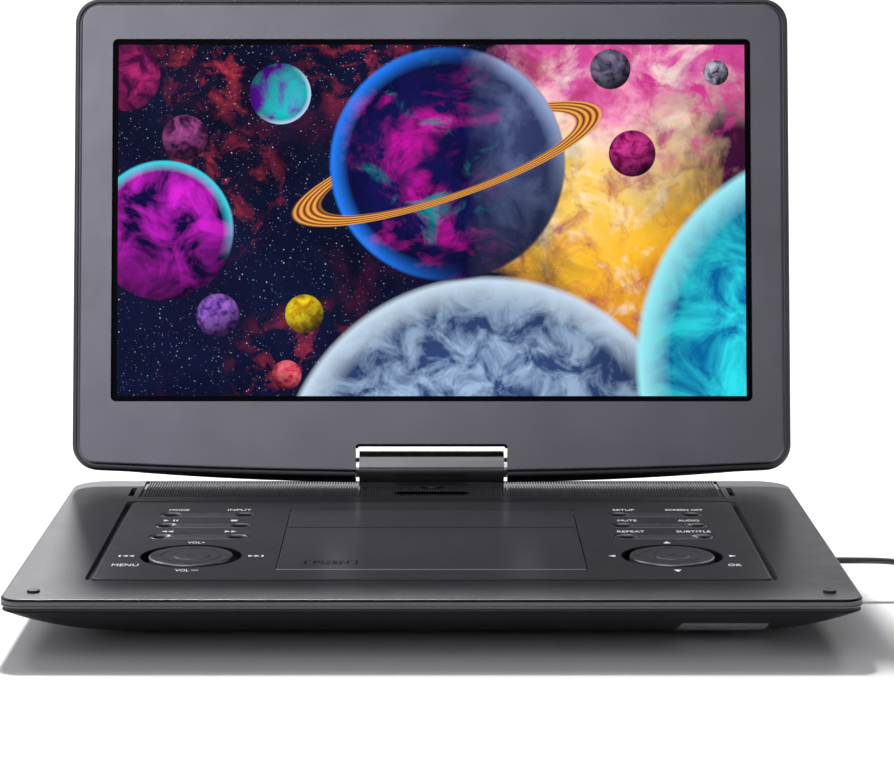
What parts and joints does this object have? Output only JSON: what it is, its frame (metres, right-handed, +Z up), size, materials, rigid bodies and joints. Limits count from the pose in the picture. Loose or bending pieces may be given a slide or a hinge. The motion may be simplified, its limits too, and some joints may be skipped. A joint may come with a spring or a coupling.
{
  "type": "portable disc player",
  "caption": "Portable disc player: shallow base with a flush disc door and key panel, and a wide screen lid on a swivel and tilt hinge.",
  "frame": {"origin": "bottom centre of the open player, on the surface it stands on", "axes": "+X to the player's right, +Y to its back, +Z up"},
  "size_m": [0.5012, 0.3209, 0.2905],
  "materials": {
    "shell": "satin dark grey, moulded",
    "bezel": "satin gunmetal",
    "deck": "satin dark grey",
    "hull": "satin black",
    "barrel": "glossy black",
    "screen": "glossy display face",
    "smoke": "smoked window",
    "rubber": "matte",
    "inner": "plain inner plastic",
    "board": "circuit board",
    "steel": "satin steel",
    "chrome": "polished",
    "cell": "shrink wrap",
    "cord": "soft black jacket"
  },
  "bodies": {
    "base": {"base_top_cover": "shell", "base_bottom_cover": "hull", "control_panel": "deck", "speaker_grille": "deck", "indicator_window": "smoke", "ir_window": "smoke", "rubber_feet": "rubber", "lid_bumpers": "rubber", "disc_deck": "inner", "spindle_motor": "steel", "sled_rails": "steel", "sled_motor": "steel", "main_board": "board", "key_boards": "board", "battery_pack": "cell", "speakers": "inner", "port_panel_right": "hull", "port_panel_left": "hull", "audio_jacks": "inner", "video_socket": "steel", "dc_jack": "inner", "data_socket": "steel", "card_slot": "steel", "base_screws": "steel", "swivel_bushing": "steel", "cable_plug": "cord", "cable_cord": "cord", "cable_coil": "cord", "cable_connector": "cord"},
    "door": {"disc_door": "deck"},
    "latch": {"door_latch": "inner"},
    "spindle": {"spindle_hub": "inner"},
    "sled": {"laser_sled": "inner"},
    "screw": {"sled_screw": "steel"},
    "switch": {"power_switch": "deck"},
    "yoke": {"hinge_yoke": "barrel", "hinge_end_caps": "chrome", "swivel_nut": "steel"},
    "lid": {"lid_back_cover": "shell", "lid_front_bezel": "bezel", "lcd_panel": "screen", "display_board": "board", "lid_screws": "steel", "hinge_leaves": "steel"},
    "key_left_1": {"key_left_1": "deck"},
    "key_left_2": {"key_left_2": "deck"},
    "key_left_3": {"key_left_3": "deck"},
    "key_right_1": {"key_right_1": "deck"},
    "key_right_2": {"key_right_2": "deck"},
    "key_right_3": {"key_right_3": "deck"},
    "pivot_left": {"pad_pivot_left": "inner"},
    "pad_left": {"pad_left": "deck"},
    "button_left": {"pad_button_left": "deck"},
    "pivot_right": {"pad_pivot_right": "inner"},
    "pad_right": {"pad_right": "deck"},
    "button_right": {"pad_button_right": "deck"}
  },
  "joints": [
    {"name": "lid_swivel", "type": "hinge", "parent": "base", "child": "yoke", "pos_m": [0, 0.09705, 0.027], "axis": [0, 0, 1], "range_deg": [-90, 180]},
    {"name": "lid_tilt", "type": "hinge", "parent": "yoke", "child": "lid", "pos_m": [0, 0.09705, 0.0372], "axis": [1, 0, 0], "range_deg": [-76.8, 102.4]},
    {"name": "door_open", "type": "hinge", "parent": "base", "child": "door", "pos_m": [0, 0.03135, 0.0254], "axis": [-1, 0, 0], "range_deg": [0, 65]},
    {"name": "latch_press", "type": "slide", "parent": "base", "child": "latch", "axis": [0, 0, -1], "range_m": [0, 0.002], "stiffness_N_per_m": 300},
    {"name": "spindle_spin", "type": "hinge", "parent": "base", "child": "spindle", "pos_m": [0, -0.0333, 0.015], "axis": [0, 0, 1], "continuous": true},
    {"name": "sled_travel", "type": "slide", "parent": "base", "child": "sled", "axis": [0, -1, 0], "range_m": [0, 0.03]},
    {"name": "screw_turn", "type": "hinge", "parent": "base", "child": "screw", "pos_m": [0.026, -0.06495, 0.0106], "axis": [0, -1, 0], "range_deg": [0, 3600]},
    {"name": "power_slide", "type": "slide", "parent": "base", "child": "switch", "axis": [0, 1, 0], "range_m": [0, 0.004]},
    {"name": "rock_left_1", "type": "hinge", "parent": "base", "child": "key_left_1", "pos_m": [-0.1164, 0.02205, 0.023], "axis": [0, 1, 0], "range_deg": [-2.5, 2.5], "stiffness_Nm_per_rad": 0.6},
    {"name": "rock_left_2", "type": "hinge", "parent": "base", "child": "key_left_2", "pos_m": [-0.1164, -0.00395, 0.023], "axis": [0, 1, 0], "range_deg": [-2.5, 2.5], "stiffness_Nm_per_rad": 0.6},
    {"name": "rock_left_3", "type": "hinge", "parent": "base", "child": "key_left_3", "pos_m": [-0.1164, -0.02995, 0.023], "axis": [0, 1, 0], "range_deg": [-2.5, 2.5], "stiffness_Nm_per_rad": 0.6},
    {"name": "rock_right_1", "type": "hinge", "parent": "base", "child": "key_right_1", "pos_m": [0.1164, 0.02205, 0.023], "axis": [0, 1, 0], "range_deg": [-2.5, 2.5], "stiffness_Nm_per_rad": 0.6},
    {"name": "rock_right_2", "type": "hinge", "parent": "base", "child": "key_right_2", "pos_m": [0.1164, -0.00395, 0.023], "axis": [0, 1, 0], "range_deg": [-2.5, 2.5], "stiffness_Nm_per_rad": 0.6},
    {"name": "rock_right_3", "type": "hinge", "parent": "base", "child": "key_right_3", "pos_m": [0.1164, -0.02995, 0.023], "axis": [0, 1, 0], "range_deg": [-2.5, 2.5], "stiffness_Nm_per_rad": 0.6},
    {"name": "pad_left_pitch", "type": "hinge", "parent": "base", "child": "pivot_left", "pos_m": [-0.1165, -0.07315, 0.0228], "axis": [1, 0, 0], "range_deg": [-2.5, 2.5], "stiffness_Nm_per_rad": 0.6},
    {"name": "pad_left_roll", "type": "hinge", "parent": "pivot_left", "child": "pad_left", "pos_m": [-0.1165, -0.07315, 0.0228], "axis": [0, 1, 0], "range_deg": [-2.5, 2.5], "stiffness_Nm_per_rad": 0.6},
    {"name": "button_left_press", "type": "slide", "parent": "pad_left", "child": "button_left", "axis": [0, 0, -1], "range_m": [0, 0.0006], "stiffness_N_per_m": 300},
    {"name": "pad_right_pitch", "type": "hinge", "parent": "base", "child": "pivot_right", "pos_m": [0.1165, -0.07315, 0.0228], "axis": [1, 0, 0], "range_deg": [-2.5, 2.5], "stiffness_Nm_per_rad": 0.6},
    {"name": "pad_right_roll", "type": "hinge", "parent": "pivot_right", "child": "pad_right", "pos_m": [0.1165, -0.07315, 0.0228], "axis": [0, 1, 0], "range_deg": [-2.5, 2.5], "stiffness_Nm_per_rad": 0.6},
    {"name": "button_right_press", "type": "slide", "parent": "pad_right", "child": "button_right", "axis": [0, 0, -1], "range_m": [0, 0.0006], "stiffness_N_per_m": 300}
  ],
  "couplings": [
    {"joint": "screw_turn", "follows": "sled_travel", "rad_per_m": 2094.4}
  ]
}
